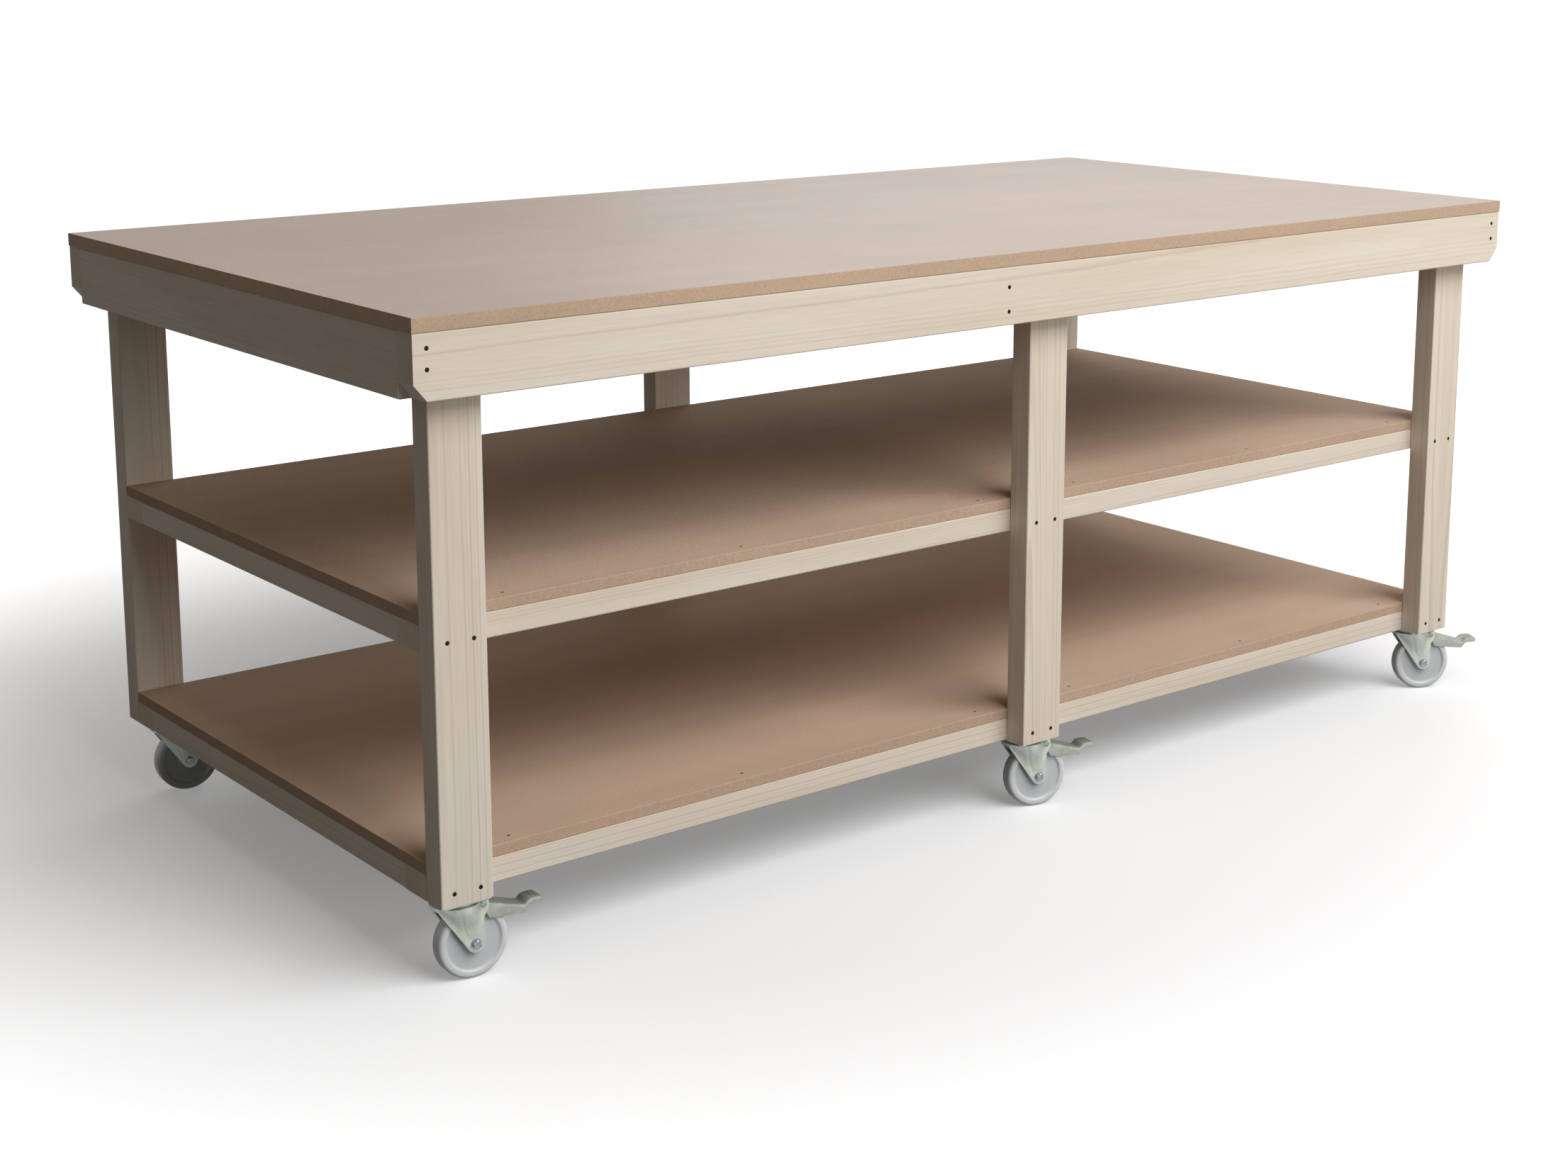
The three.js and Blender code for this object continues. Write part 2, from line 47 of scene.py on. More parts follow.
# Camera: its place and reach in metres, the photograph's frame in pixels and the sensor in millimetres
PHOTO_WIDTH = 2212
PHOTO_HEIGHT = 1659
CAMERA_PLACE = (-2.80876, -3.46491, 1.52122)
CAMERA_YAW = math.radians(38.78)
CAMERA_PITCH = math.radians(10.79)
CAMERA_ROLL = math.radians(0.107)
FOCAL_PIXELS = 3366.9
OPTICAL_CENTRE = (1169.2, 557.9)
SENSOR_WIDTH = 36
CAMERA_SEES_TO = 200

# Light: a wide soft key lamp at the front, a low fill, a weak lamp at the back right and a dim surround.
# Each lamp has a bearing from the front, an angle of height, then its distance, width and depth in metres,
# and its watts.
KEY_LAMP = (math.radians(14), math.radians(41), 5.5, 6, 3.2, 275)
FILL_LAMP = (math.radians(12), math.radians(10), 6, 5, 1.6, 75)
BACK_LAMP = (math.radians(130), math.radians(26), 6, 4, 2, 52)
LAMP_AIM = Vector((0, 0, 0.6))
SURROUND_LEVEL = 0.11

# Floor: its size in metres, its glow under the table, and the distances where it clears to plain white
FLOOR_SIZE = 60
FLOOR_GLOW = 0.22
FLOOR_CLEAR_FROM = 1
FLOOR_CLEAR_TO = 3

# Patterns in the finishes, in millimetres. In spruce, three values are across, across and along the grain.
RING_WIDTHS = (4, 6)
RING_SWAY = 9
RING_SWAYS_PER_METRE = (14, 14, 1.6)
# How far the pith lies from the middle of a stick, behind its wide face and to one side, and its slope
PITH_BEHIND = (45, 110)
PITH_ASIDE_IN_LEG = (10, 45)
PITH_ASIDE_IN_RAIL = (50, 110)
PITH_LEAN = 0.012
# Fibres are about 0.03 mm wide in spruce, and drawn at 1.5 mm so that they show
FIBRE_SIZE = (1.5, 1.5, 80)
STAIN_SIZE = (50, 50, 700)
# Fibre flecks in MDF are about 1 mm, and drawn at 3 mm so that they show
FLECK_SIZE = 3
PATCH_SIZE = 400
# The sanding belt leaves bands along X
SANDING_BAND_SIZE = (1200, 50, 50)
ZINC_CLOUD_SIZE = 12
# Drawing marks in the steel are finer than 1 mm, and drawn at 2.5 mm so that they show
DRAWING_MARK_SIZE = 2.5
BOLT_CLOUD_SIZE = 4
NYLON_CLOUD_SIZE = 30
# Scuffs in the nylon are finer than 1 mm, and drawn at 3 mm so that they show
SCUFF_SIZE = 3
DRIVER_RUB_SIZE = 1.5
# How far the patterns stand out of their surfaces
FIBRE_RELIEF = 0.2
FLECK_RELIEF = 0.3
DRAWING_MARK_RELIEF = 0.2
SCUFF_RELIEF = 0.2

# Edges: how near points are welded and how wide edges are broken, in millimetres, and from what angle
WELD_WITHIN = 0.02
BROKEN_EDGE = 0.7
BROKEN_FROM = math.radians(50)
PRESSED_EDGE = 0.6
PRESSED_FROM = math.radians(60)
SHADED_SHARP_FROM = math.radians(38)

# Screws, in millimetres
LEG_SCREW_EDGE = 22
END_SCREW_DROPS = (22, 52)
MIDDLE_SCREW_DROPS = (34, 75)
SHELF_SCREW_PLACES = (-1020, -580, -70, 160, 620, 1040)
SHELF_SCREW_INSET = 24
HOLE_SCREW_RADIUS = 3.6
HOLE_SCREW_STANDS = 0.12
SHELF_SCREW_RADIUS = 2.6
SHELF_SCREW_STANDS = 0.25
SCREW_HEAD_HEIGHT = 2.4
SCREW_RIM_BOTTOM = 0.5
SCREW_RIM_TOP = 0.15
CROSS_DEPTH = 1.5
# Shares of a screw head's radius
SCREW_NECK = 0.55
SCREW_FLAT = 0.94
CROSS_ARM = 0.62
CROSS_WIDTH = 0.2
# The driver cross narrows as it goes down: shares of its depth, arm and width
CROSS_STEPS = ((0, 1, 1), (0.8, 0.75, 0.7), (1, 0.4, 0.5))

# Casters, in millimetres about the swivel axis, with the wheel trailing towards +X
TRAIL = 24
DECK_TOP = 124
DECK_BOTTOM = 121
PLATE_BOTTOM = 131
PLATE_BOLT_REACH = 32

# Wheel: the hub, the dished side and the thick rim with its round lip
WHEEL_RADIUS = 57
WHEEL_HALF = 14
WHEEL_BORE = 5.4
HUB_HALF = 17
HUB_FACE = 14.2
HUB_ROUND = 1.6
HUB_FOOT = 19.6
HUB_FILLET = 3
DISH_DEPTH = 3
RIM_FOOT = 41
RIM_FILLET = 6
RIM_CREST = 47.5
RIM_ROUND = 3
LIP = 6
LIP_DROP = 3
PALE_RIM_FROM = 43
PALE_RIM_TO = 49

# Axle: a bolt with washers, a domed head and a nut. Profiles give radius and height above the seat.
AXLE_RADIUS = 5
AXLE_CLEAR = 0.2
AXLE_WASHER = ((8.4, 0), (8.4, 1.4))
AXLE_ACROSS_FLATS = 13
AXLE_CHAMFER_FLATS = 12.6
AXLE_CHAMFER = (1.5, 1.9)
AXLE_HEAD_TOP = 5
AXLE_HEAD_DOME = ((5.9, 6), (4.4, 6), (4.1, 5.5))
AXLE_NUT_TOP = 4.6
AXLE_THREAD_END = ((6, 5.2), (4.9, 5.2), (4.9, 5.9), (4.4, 6.2))

# Kingpin: the riveted head below the deck, and the pressed ball race above it
KINGPIN_RADIUS = 6
KINGPIN_CLEAR = 0.3
RIVETED_HEAD = ((5, -5.3), (8.5, -4.6), (10.4, -3), (11, -0.4))
BALL_RACE = ((33, 0.3), (34.4, 0.8), (35.2, 2), (34.2, 2.9), (34.2, 3.4), (35.3, 4), (36, 5.2))
RACE_TOP = ((36, -0.6), (36, 0))

# Fork: a pressed sheet with a round deck. The angles, in degrees on the deck's rim, part the stretches
# of its lower edge: the back arch, the slanted edge, the axle boss and the front edge.
SHEET = 2.8
DECK_RADIUS = 38
KINGPIN_HOLE = 6.4
CHEEK_OUTER = 20.5
BOSS_RADIUS = 14
BOSS_STEPS = 18
HEEL = (-35, 16, 118)
BACK_ANGLE = 180
ARCH_ANGLE = 152
ARCH_STEPS = 4
SLANT_ANGLE = 112
SLANT_STEPS = 10
FRONT_ANGLE = 62
FRONT_EDGE_DROP = 27
FRONT_EDGE_STEPS = 6
SIDE_FROM = 33
SIDE_TO = 40
LUG_FRONT = 46
LUG_DROP = 15
LUG_STEPS = 3
LUG_BEND = 2
LUG_CORNER = (0.5, 3)
TONGUE = (0.5, 2)
TONGUE_STEPS = 4
SHOULDER_DROP = 0.8
CHEEK_STEPS = 12
RIB_HEIGHT = 2.2
RIB_HALF_STEPS = 4
# Shares of the way from the pin's hole to the deck's rim
DECK_SHARES = (0, 0.35, 0.7, 0.93)
# Shares of the way down a cheek: where it stands upright, and where its rib rises and falls
UPRIGHT_BY = 0.6
RIB_FROM = 0.036
RIB_RISE = 0.12
RIB_TO = 0.66
RIB_FALL = 0.1

# Brake pedal: a folded lever on a pin through the fork's lugs
PIVOT = (37, 117)
PIVOT_CLEAR = 0.3
PIVOT_PIN = ((3, 0), (5.5, 0), (5.5, 1.7), (4.4, 2.4))
LEVER_SHEET = 2.2
# The fold between the lever's top and its side, as steps inwards and down
FOLD_OUTSIDE = ((0, 4), (0.6, 1.2), (2, 0.1))
FOLD_INSIDE = ((0, 4.2), (0.5, LEVER_SHEET + 0.8), (1.5, LEVER_SHEET))
# The lever's sections from the pivot to the toe: along, top, half width and depth of its side
LEVER_STATIONS = (
    (31, 119.6, 17.2, 9.5), (38, 119.6, 17.2, 13), (43, 119.1, 17.2, 18), (48, 115.2, 17.2, 24),
    (60, 111.4, 17.2, 22), (80, 105.4, 17, 18), (100, 99.4, 16.8, 14), (107, 97.6, 16.6, 12.5),
    (109, 98.2, 16.6, 11.5), (114, 103.2, 16.4, 10), (117, 104.8, 16.2, 9.5), (126, 105.3, 16, 9),
    (134, 105, 16, 9), (136, 104.4, 15.8, 8),
)
TOE_END = ((134.6, 104.2), (136.2, 104.2), (137.2, 103.2), (137.2, 96.6), (134.6, 96.6))
TOE_HALF = 15.4
TOE_GRIPS = ((119, 104.8), (124.5, 105), (130, 104.9))
GRIP_BAR = ((1.1, 10.2), (0.5, 11))
BRAKE_SHOE = ((52, 113.4), (64, 109.6), (64, 102.6), (52, 111.6))
SHOE_HALF = 11.6

# Bolts under the plate: the head's end, its flats and its washer
PLATE_BOLT_END = (4, -4.9)
PLATE_BOLT_CHAMFER = (9.4, -4.8)
PLATE_BOLT_FLATS = ((10, -4.5), (10, -1.6))
PLATE_BOLT_WASHER = ((7, -1.5), (7.4, -1.2), (7.4, 0))

# Sockets of a colour mix and of a map range, and the values that nearly all of a noise lies between
FACTOR, COLOUR_A, COLOUR_B, MIXED = 0, 6, 7, 2
VALUE, FROM_LOW, FROM_HIGH, TO_LOW, TO_HIGH = range(5)
NOISE_SPAN = {FROM_LOW: 0.3, FROM_HIGH: 0.7}


def linear(hex_colour):
    """An sRGB hex colour as linear red, green, blue and alpha."""
    channels = [int(hex_colour[i:i + 2], 16) / 255 for i in (1, 3, 5)]
    return [c / 12.92 if c <= 0.04045 else ((c + 0.055) / 1.055) ** 2.4 for c in channels] + [1]


def per_metre(size):
    """How often a pattern of a size in millimetres repeats in a metre."""
    return 1 / (size * MM)


def add(tree, kind, inputs=None, **settings):
    """A new shader node with its settings, and its inputs as values or as sockets to link from."""
    node = tree.nodes.new("ShaderNode" + kind)
    for name, value in settings.items():
        setattr(node, name, value)
    for key, value in (inputs or {}).items():
        if isinstance(value, bpy.types.NodeSocket):
            tree.links.new(value, node.inputs[key])
        else:
            node.inputs[key].default_value = value
    return node


def start_material(name, **sockets):
    """A new material, its node tree and its shader, with the shader's constant sockets set."""
    material = bpy.data.materials.new(name)
    material.use_nodes = True
    tree = material.node_tree
    shader = tree.nodes["Principled BSDF"]
    for socket, value in sockets.items():
        shader.inputs[socket.replace("_", " ")].default_value = value
    return material, tree, shader


def long_axis(node_name):
    """The axis, 0 to 2, that a stick's grain runs along."""
    low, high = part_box(node_name)
    size = high - low
    return max(range(3), key=lambda axis: size[axis])


def pith_line(node_name, grain, chance):
    """Place and turn of the pith that a stick was sawn beside: outside the stick, and leaning a little."""
    low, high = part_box(node_name)
    away = chance.choice((-1, 1)) * chance.uniform(*PITH_BEHIND) * MM
    spread = PITH_ASIDE_IN_LEG if grain == 2 else PITH_ASIDE_IN_RAIL
    aside = chance.choice((-1, 1)) * chance.uniform(*spread) * MM
    across = [axis for axis in range(3) if axis != grain]
    if high[across[0]] - low[across[0]] > high[across[1]] - low[across[1]]:
        across.reverse()
    pith = (low + high) / 2
    pith[across[0]] += away
    pith[across[1]] += aside
    lean = Vector()
    lean[grain] = 1
    lean[across[0]] = chance.uniform(-PITH_LEAN, PITH_LEAN)
    lean[across[1]] = chance.uniform(-PITH_LEAN, PITH_LEAN)
    return pith, Vector((0, 0, 1)).rotation_difference(lean).to_euler()


def year_rings(tree, log, ring_width):
    """How much late wood shows: a line a year that darkens slowly, stops short and has its own weight."""
    slow = add(tree, "VectorMath", {0: log, 1: RING_SWAYS_PER_METRE}, operation="MULTIPLY")
    sway = add(tree, "TexNoise", {"Vector": slow.outputs[0], "Scale": 1.0, "Detail": 2.0})
    shift = add(tree, "VectorMath", {
        0: sway.outputs["Color"], 1: (RING_SWAY * MM, RING_SWAY * MM, 0), 2: log}, operation="MULTIPLY_ADD")
    flat = add(tree, "VectorMath", {0: shift.outputs[0], 1: (1, 1, 0)}, operation="MULTIPLY")
    reach = add(tree, "VectorMath", {0: flat.outputs[0]}, operation="LENGTH")
    rings = add(tree, "Math", {0: reach.outputs["Value"], 1: ring_width}, operation="DIVIDE")
    count = add(tree, "Math", {0: rings.outputs[0]}, operation="FLOOR")
    phase = add(tree, "Math", {0: rings.outputs[0]}, operation="FRACT")
    rise = add(tree, "MapRange", {
        VALUE: phase.outputs[0], FROM_LOW: 0.3, FROM_HIGH: 0.88}, interpolation_type="SMOOTHSTEP")
    drop = add(tree, "MapRange", {
        VALUE: phase.outputs[0], FROM_LOW: 0.9, FROM_HIGH: 1.0, TO_LOW: 1.0, TO_HIGH: 0.0})
    late = add(tree, "Math", {0: rise.outputs[0], 1: drop.outputs[0]}, operation="MULTIPLY")
    year = add(tree, "TexWhiteNoise", {"W": count.outputs[0]}, noise_dimensions="1D")
    weight = add(tree, "MapRange", {
        VALUE: year.outputs["Value"], FROM_LOW: 0.3, TO_LOW: 0.02, TO_HIGH: 0.38})
    return add(tree, "Math", {0: late.outputs[0], 1: weight.outputs[0]}, operation="MULTIPLY").outputs[0]


def planed_spruce(node_name):
    """Planed spruce: pale early wood with thin honey late wood, so faint rings run along each stick.

    The rings are cylinders about a slightly tilted pith line, so faces show straight or arched figure
    and the cut ends show arcs."""
    grain = long_axis(node_name)
    chance = random.Random(node_name)
    ring_width = chance.uniform(*RING_WIDTHS) * MM
    pith, turn = pith_line(node_name, grain, chance)

    material, tree, shader = start_material(
        "planed_spruce_" + node_name, IOR=1.5, Specular_IOR_Level=0.25)
    place = add(tree, "TexCoord")
    log = add(tree, "Mapping", {
        "Vector": place.outputs["Object"], "Location": pith, "Rotation": turn}, vector_type="TEXTURE")
    ring = year_rings(tree, log.outputs[0], ring_width)
    fine = add(tree, "VectorMath", {
        0: log.outputs[0], 1: [per_metre(size) for size in FIBRE_SIZE]}, operation="MULTIPLY")
    fibre = add(tree, "TexNoise", {"Vector": fine.outputs[0], "Scale": 1.0, "Detail": 3.0})
    broad = add(tree, "VectorMath", {
        0: log.outputs[0], 1: [per_metre(size) for size in STAIN_SIZE]}, operation="MULTIPLY")
    stain = add(tree, "TexNoise", {"Vector": broad.outputs[0], "Scale": 1.0, "Detail": 2.0})
    tone = add(tree, "MapRange", {VALUE: stain.outputs[0], FROM_LOW: 0.35, FROM_HIGH: 0.7})
    early = add(tree, "Mix", {
        FACTOR: tone.outputs[0], COLOUR_A: linear("#e3d9ca"), COLOUR_B: linear("#dbcdba")},
        data_type="RGBA")
    ringed = add(tree, "Mix", {
        FACTOR: ring, COLOUR_A: early.outputs[MIXED], COLOUR_B: linear("#b99678")}, data_type="RGBA")
    streak = add(tree, "MapRange", {VALUE: fibre.outputs[0], **NOISE_SPAN, TO_LOW: 0.95, TO_HIGH: 1.04})
    grained = add(tree, "VectorMath", {
        0: ringed.outputs[MIXED], "Scale": streak.outputs[0]}, operation="SCALE")

    # Sawn ends drink in light, so they are a tone browner
    facing = add(tree, "SeparateXYZ", {0: place.outputs["Normal"]})
    endwise = add(tree, "Math", {0: facing.outputs[grain]}, operation="ABSOLUTE")
    is_end = add(tree, "MapRange", {
        VALUE: endwise.outputs[0], FROM_LOW: 0.75, FROM_HIGH: 0.95, TO_HIGH: 0.3})
    ended = add(tree, "Mix", {
        FACTOR: is_end.outputs[0], COLOUR_A: grained.outputs[0], COLOUR_B: linear("#b99d7a")},
        data_type="RGBA")
    rough = add(tree, "MapRange", {VALUE: fibre.outputs[0], **NOISE_SPAN, TO_LOW: 0.58, TO_HIGH: 0.75})
    height = add(tree, "Math", {0: fibre.outputs[0], 1: ring}, operation="SUBTRACT")
    bump = add(tree, "Bump", {
        "Height": height.outputs[0], "Strength": 0.25, "Distance": FIBRE_RELIEF * MM})
    tree.links.new(ended.outputs[MIXED], shader.inputs["Base Color"])
    tree.links.new(rough.outputs[0], shader.inputs["Roughness"])
    tree.links.new(bump.outputs[0], shader.inputs["Normal"])
    return material


def pressed_mdf(name, face, edge, face_roughness, shine):
    """MDF: pressed wood dust, so a fawn face with fine flecks, and a browner, fuzzier sawn edge.

    Its faces are sanded smooth, which leaves faint bands along the board."""
    material, tree, shader = start_material(name, IOR=1.5, Specular_IOR_Level=shine)
    place = add(tree, "TexCoord")
    fleck = add(tree, "TexNoise", {
        "Vector": place.outputs["Object"], "Scale": per_metre(FLECK_SIZE), "Detail": 3.0})
    cloud = add(tree, "TexNoise", {
        "Vector": place.outputs["Object"], "Scale": per_metre(PATCH_SIZE), "Detail": 3.0})
    drawn = add(tree, "VectorMath", {
        0: place.outputs["Object"], 1: [per_metre(size) for size in SANDING_BAND_SIZE]},
        operation="MULTIPLY")
    belt = add(tree, "TexNoise", {"Vector": drawn.outputs[0], "Scale": 1.0, "Detail": 3.0})
    facing = add(tree, "SeparateXYZ", {0: place.outputs["Normal"]})
    upward = add(tree, "Math", {0: facing.outputs[2]}, operation="ABSOLUTE")
    is_face = add(tree, "MapRange", {VALUE: upward.outputs[0], FROM_LOW: 0.6, FROM_HIGH: 0.9})
    base = add(tree, "Mix", {
        FACTOR: is_face.outputs[0], COLOUR_A: linear(edge), COLOUR_B: linear(face)}, data_type="RGBA")
    patch = add(tree, "MapRange", {VALUE: cloud.outputs[0], **NOISE_SPAN, TO_LOW: 0.93, TO_HIGH: 1.06})
    swept = add(tree, "MapRange", {VALUE: belt.outputs[0], **NOISE_SPAN, TO_LOW: 0.97, TO_HIGH: 1.03})
    dusty = add(tree, "MapRange", {VALUE: fleck.outputs[0], **NOISE_SPAN, TO_LOW: 0.89, TO_HIGH: 1.1})
    both = add(tree, "Math", {0: patch.outputs[0], 1: swept.outputs[0]}, operation="MULTIPLY")
    level = add(tree, "Math", {0: both.outputs[0], 1: dusty.outputs[0]}, operation="MULTIPLY")
    colour = add(tree, "VectorMath", {
        0: base.outputs[MIXED], "Scale": level.outputs[0]}, operation="SCALE")
    rough = add(tree, "MapRange", {VALUE: is_face.outputs[0], TO_LOW: 0.9, TO_HIGH: face_roughness})
    bump = add(tree, "Bump", {
        "Height": fleck.outputs[0], "Strength": 0.15, "Distance": FLECK_RELIEF * MM})
    tree.links.new(colour.outputs[0], shader.inputs["Base Color"])
    tree.links.new(rough.outputs[0], shader.inputs["Roughness"])
    tree.links.new(bump.outputs[0], shader.inputs["Normal"])
    return material


def zinc_plate(name, dull, bright):
    """Zinc-plated pressed steel: a soft greenish grey metal, cloudy from the bath, with drawing marks.

    Its passivation film is matt and milky, so it is less than fully metallic to the eye."""
    material, tree, shader = start_material(name, Metallic=0.6)
    place = add(tree, "TexCoord")
    cloud = add(tree, "TexNoise", {
        "Vector": place.outputs["Object"], "Scale": per_metre(ZINC_CLOUD_SIZE), "Detail": 4.0})
    marks = add(tree, "TexNoise", {
        "Vector": place.outputs["Object"], "Scale": per_metre(DRAWING_MARK_SIZE), "Detail": 2.0})
    tone = add(tree, "MapRange", {VALUE: cloud.outputs[0], FROM_LOW: 0.35, FROM_HIGH: 0.65})
    colour = add(tree, "Mix", {
        FACTOR: tone.outputs[0], COLOUR_A: linear(dull), COLOUR_B: linear(bright)}, data_type="RGBA")
    rough = add(tree, "MapRange", {VALUE: cloud.outputs[0], **NOISE_SPAN, TO_LOW: 0.42, TO_HIGH: 0.56})
    bump = add(tree, "Bump", {
        "Height": marks.outputs[0], "Strength": 0.2, "Distance": DRAWING_MARK_RELIEF * MM})
    tree.links.new(colour.outputs[MIXED], shader.inputs["Base Color"])
    tree.links.new(rough.outputs[0], shader.inputs["Roughness"])
    tree.links.new(bump.outputs[0], shader.inputs["Normal"])
    return material


def bolt_steel():
    """Bright-zinc bolts: turned and rolled steel with a small, hard highlight, a little clouded."""
    material, tree, shader = start_material("bright_zinc_bolt", Metallic=0.9)
    place = add(tree, "TexCoord")
    cloud = add(tree, "TexNoise", {
        "Vector": place.outputs["Object"], "Scale": per_metre(BOLT_CLOUD_SIZE), "Detail": 3.0})
    tone = add(tree, "MapRange", {VALUE: cloud.outputs[0], FROM_LOW: 0.35, FROM_HIGH: 0.65})
    colour = add(tree, "Mix", {
        FACTOR: tone.outputs[0], COLOUR_A: linear("#90959a"), COLOUR_B: linear("#a9adb0")},
        data_type="RGBA")
    rough = add(tree, "MapRange", {VALUE: cloud.outputs[0], **NOISE_SPAN, TO_LOW: 0.22, TO_HIGH: 0.36})
    tree.links.new(colour.outputs[MIXED], shader.inputs["Base Color"])
    tree.links.new(rough.outputs[0], shader.inputs["Roughness"])
    return material


def moulded_nylon():
    """Moulded nylon: a milky grey-white with a waxy, scuffed shine, paler on the thick rim."""
    material, tree, shader = start_material("moulded_nylon", IOR=1.53)
    place = add(tree, "TexCoord")
    cloud = add(tree, "TexNoise", {
        "Vector": place.outputs["Object"], "Scale": per_metre(NYLON_CLOUD_SIZE), "Detail": 3.0})
    scuff = add(tree, "TexNoise", {
        "Vector": place.outputs["Object"], "Scale": per_metre(SCUFF_SIZE), "Detail": 4.0})
    flat = add(tree, "VectorMath", {0: place.outputs["Object"], 1: (1, 1, 0)}, operation="MULTIPLY")
    reach = add(tree, "VectorMath", {0: flat.outputs[0]}, operation="LENGTH")
    rim = add(tree, "MapRange", {
        VALUE: reach.outputs["Value"], FROM_LOW: PALE_RIM_FROM * MM, FROM_HIGH: PALE_RIM_TO * MM})
    tone = add(tree, "MapRange", {VALUE: cloud.outputs[0], **NOISE_SPAN, TO_LOW: 0.97, TO_HIGH: 1.03})
    ringed = add(tree, "Mix", {
        FACTOR: rim.outputs[0], COLOUR_A: linear("#c5cacd"), COLOUR_B: linear("#dadddd")},
        data_type="RGBA")
    colour = add(tree, "VectorMath", {
        0: ringed.outputs[MIXED], "Scale": tone.outputs[0]}, operation="SCALE")
    rough = add(tree, "MapRange", {VALUE: scuff.outputs[0], **NOISE_SPAN, TO_LOW: 0.36, TO_HIGH: 0.5})
    bump = add(tree, "Bump", {"Height": scuff.outputs[0], "Strength": 0.1, "Distance": SCUFF_RELIEF * MM})
    tree.links.new(colour.outputs[0], shader.inputs["Base Color"])
    tree.links.new(rough.outputs[0], shader.inputs["Roughness"])
    tree.links.new(bump.outputs[0], shader.inputs["Normal"])
    return material


def black_screw():
    """Black-phosphated screws: a dull charcoal coat, rubbed a little greyer where the driver bites."""
    material, tree, shader = start_material("black_phosphate", Specular_IOR_Level=0.2)
    place = add(tree, "TexCoord")
    rub = add(tree, "TexNoise", {
        "Vector": place.outputs["Object"], "Scale": per_metre(DRIVER_RUB_SIZE), "Detail": 3.0})
    tone = add(tree, "MapRange", {VALUE: rub.outputs[0], FROM_LOW: 0.4, FROM_HIGH: 0.75})
    colour = add(tree, "Mix", {
        FACTOR: tone.outputs[0], COLOUR_A: linear("#15110e"), COLOUR_B: linear("#2a2420")},
        data_type="RGBA")
    rough = add(tree, "MapRange", {VALUE: rub.outputs[0], **NOISE_SPAN, TO_LOW: 0.5, TO_HIGH: 0.7})
    tree.links.new(colour.outputs[MIXED], shader.inputs["Base Color"])
    tree.links.new(rough.outputs[0], shader.inputs["Roughness"])
    return material


def dress(node, material):
    """A CAD node with its finish, its corners welded and its sharp edges just broken."""
    node.data.materials.clear()
    node.data.materials.append(material)
    weld = node.modifiers.new("joined_faces", "WELD")
    weld.merge_threshold = WELD_WITHIN * MM
    bevel = node.modifiers.new("broken_edges", "BEVEL")
    bevel.width = BROKEN_EDGE * MM
    bevel.segments = 2
    bevel.limit_method = "ANGLE"
    bevel.angle_limit = BROKEN_FROM


def dress_boards_and_timber():
    """The CAD boards and sticks in their finishes: a sealed worktop, raw shelves and spruce, with painted
    shade on the worktop's face and painted light on the shelves' faces.
    """
    # One MDF for all boards, but the worktop's face colour is painted darker as painted shade, and the
    # shelves' faces paler as painted light
    worktop = pressed_mdf(
        "sealed_mdf_worktop_painted_shade", face="#af9a89", edge="#bda389", face_roughness=0.48, shine=0.5)
    shelf = pressed_mdf(
        "raw_mdf_shelf_painted_light", face="#cdb29b", edge="#c0a48d", face_roughness=0.85, shine=0.15)
    for name, node in NODES.items():
        if name == "top_board":
            dress(node, worktop)
        elif name.endswith("board"):
            dress(node, shelf)
        elif name.endswith("rail") or name.startswith("leg"):
            dress(node, planed_spruce(name))


def make(name, shape, material, body, place=None, replaces=()):
    """A piece from points in millimetres and faces, set down in the frame and riding on a body."""
    points, faces = shape
    mesh = bpy.data.meshes.new(name)
    mesh.from_pydata([Vector(point) * MM for point in points], [], faces)
    mesh.validate()
    mesh.materials.append(material)
    mesh.shade_smooth()
    mesh.set_sharp_from_angle(angle=SHADED_SHARP_FROM)
    piece = bpy.data.objects.new(name, mesh)
    bpy.context.scene.collection.objects.link(piece)
    piece.matrix_world = place or Matrix()
    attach(piece, body)
    if replaces:
        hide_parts(*replaces)
    return piece


def moved(shape, matrix):
    """A shape with its points moved by a matrix."""
    points, faces = shape
    return [matrix @ Vector(point) for point in points], faces


def joined(shapes):
    """Several shapes as one."""
    points = []
    faces = []
    for shape_points, shape_faces in shapes:
        start = len(points)
        points += shape_points
        faces += [[start + i for i in face] for face in shape_faces]
    return points, faces


def ring_faces(rings, count, closed=False):
    """Faces between neighbouring rings of points, and from the last ring back to the first if closed."""
    faces = []
    for ring in range(rings if closed else rings - 1):
        low = ring * count
        high = (ring + 1) % rings * count
        for i in range(count):
            j = (i + 1) % count
            faces.append([low + i, low + j, high + j, high + i])
    return faces


def capped_faces(rings, count):
    """Faces between neighbouring rings of points, with a flat cap on the first and the last."""
    first = list(reversed(range(count)))
    last = list(range((rings - 1) * count, rings * count))
    return [*ring_faces(rings, count), first, last]


def arc(centre, radius, start, end, steps):
    """Points on an arc, with its angles in degrees, both ends included."""
    angles = [math.radians(start + (end - start) * i / steps) for i in range(steps + 1)]
    return [(centre[0] + radius * math.cos(a), centre[1] + radius * math.sin(a)) for a in angles]


def turned(profile, segments, closed=False):
    """A turned shape about Z from (radius, height) pairs. A radius may be a function of the angle.

    A closed profile makes a ring. An open one is capped flat at both ends."""
    points = []
    for radius, height in profile:
        for i in range(segments):
            angle = math.tau * i / segments
            r = radius(angle) if callable(radius) else radius
            points.append((r * math.cos(angle), r * math.sin(angle), height))
    if closed:
        return points, ring_faces(len(profile), segments, closed=True)
    return points, capped_faces(len(profile), segments)


def mirrored(upper):
    """A whole profile from its upper half, from the lowest point up."""
    return [(radius, -height) for radius, height in reversed(upper)] + list(upper)


def hexagon(across_flats):
    """Radius of a hexagon by angle."""
    sector = math.tau / 6
    return lambda angle: across_flats / 2 / math.cos((angle + sector / 2) % sector - sector / 2)


